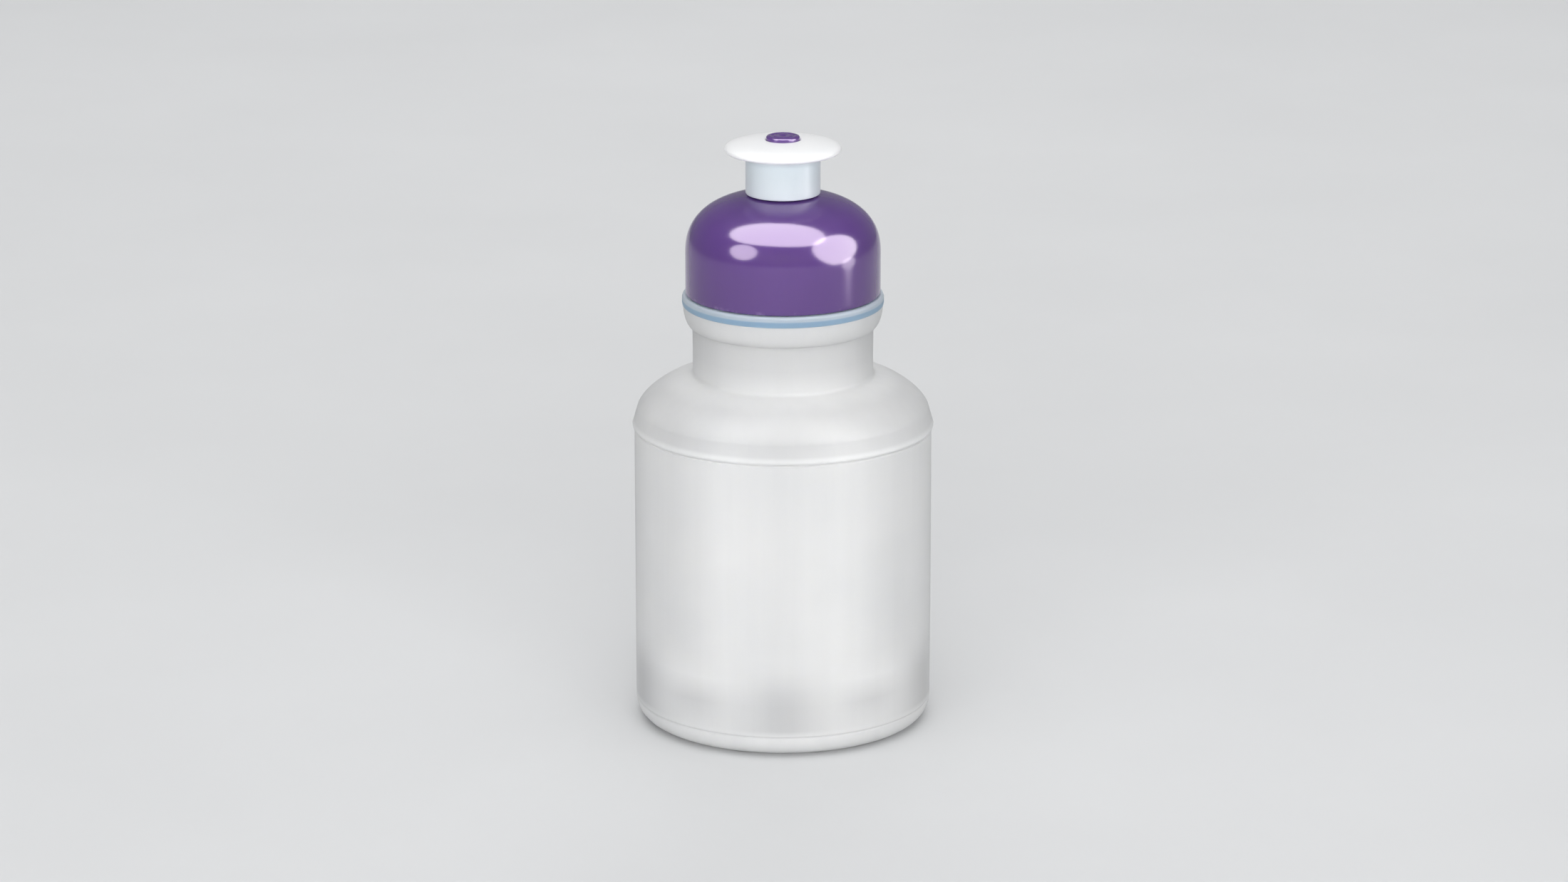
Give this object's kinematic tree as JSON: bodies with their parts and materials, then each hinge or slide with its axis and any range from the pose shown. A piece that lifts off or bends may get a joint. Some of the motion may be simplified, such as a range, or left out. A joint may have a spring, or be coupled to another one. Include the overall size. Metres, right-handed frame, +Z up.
{
  "type": "kids water bottle",
  "caption": "Kids' translucent squeeze bottle with a rounded shoulder, a screw-on domed cap and a push-pull drinking spout.",
  "frame": {"origin": "centre of the standing ring, on the ground plane", "axes": "+Z up along the bottle's axis of revolution, -Y towards the front; the spout is shut and the cap fully screwed on"},
  "size_m": [0.073, 0.073, 0.1455],
  "materials": {
    "translucent_body": "frosted translucent polyethylene",
    "purple_cap": "glossy moulded polypropylene",
    "soft_seal": "soft matte foam-faced seal",
    "white_spout": "satin white polyethylene"
  },
  "bodies": {
    "bottle": {"bottle": "translucent_body"},
    "washer": {"sealing_washer": "soft_seal"},
    "cap": {"cap": "purple_cap"},
    "spout": {"pull_spout": "white_spout"}
  },
  "joints": [
    {"name": "cap_lift", "type": "slide", "parent": "bottle", "child": "washer", "axis": [0, 0, 1], "range_m": [0, 0.0126]},
    {"name": "cap_turn", "type": "hinge", "parent": "washer", "child": "cap", "pos_m": [0, 0, 0.1068], "axis": [0, 0, 1], "range_deg": [0, 1080]},
    {"name": "spout_pull", "type": "slide", "parent": "cap", "child": "spout", "axis": [0, 0, 1], "range_m": [0, 0.005]}
  ],
  "couplings": [
    {"joint": "cap_turn", "follows": "cap_lift", "rad_per_m": 1496}
  ]
}
